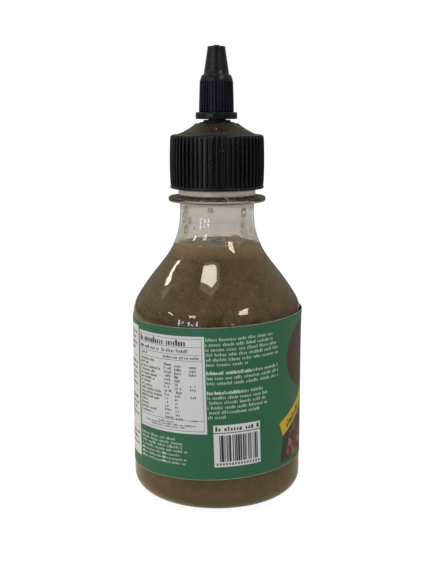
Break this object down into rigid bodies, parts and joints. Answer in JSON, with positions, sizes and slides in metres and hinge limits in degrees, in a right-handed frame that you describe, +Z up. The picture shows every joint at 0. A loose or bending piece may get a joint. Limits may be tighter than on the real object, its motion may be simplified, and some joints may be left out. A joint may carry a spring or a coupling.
{
  "type": "hot sauce bottle",
  "caption": "Clear plastic squeeze bottle of green chilli hot sauce with a wrapped label, a ribbed screw cap and a ribbed pointed tip.",
  "frame": {"origin": "middle of the base, on the surface that the bottle stands on", "axes": "+Z up the bottle to its tip, -Y towards the label's printed information panels, +X to the right of them"},
  "size_m": [0.0582, 0.0582, 0.1539],
  "materials": {
    "bottle": "clear glossy PET",
    "sauce": "wet olive-brown sauce with fine specks",
    "label": "printed film, dark green with white panels",
    "cap": "black moulded plastic, satin",
    "tip": "black moulded plastic, satin"
  },
  "bodies": {
    "root": {"bottle": "bottle", "sauce": "sauce", "label": "label", "cap": "cap", "tip": "tip"}
  },
  "joints": []
}
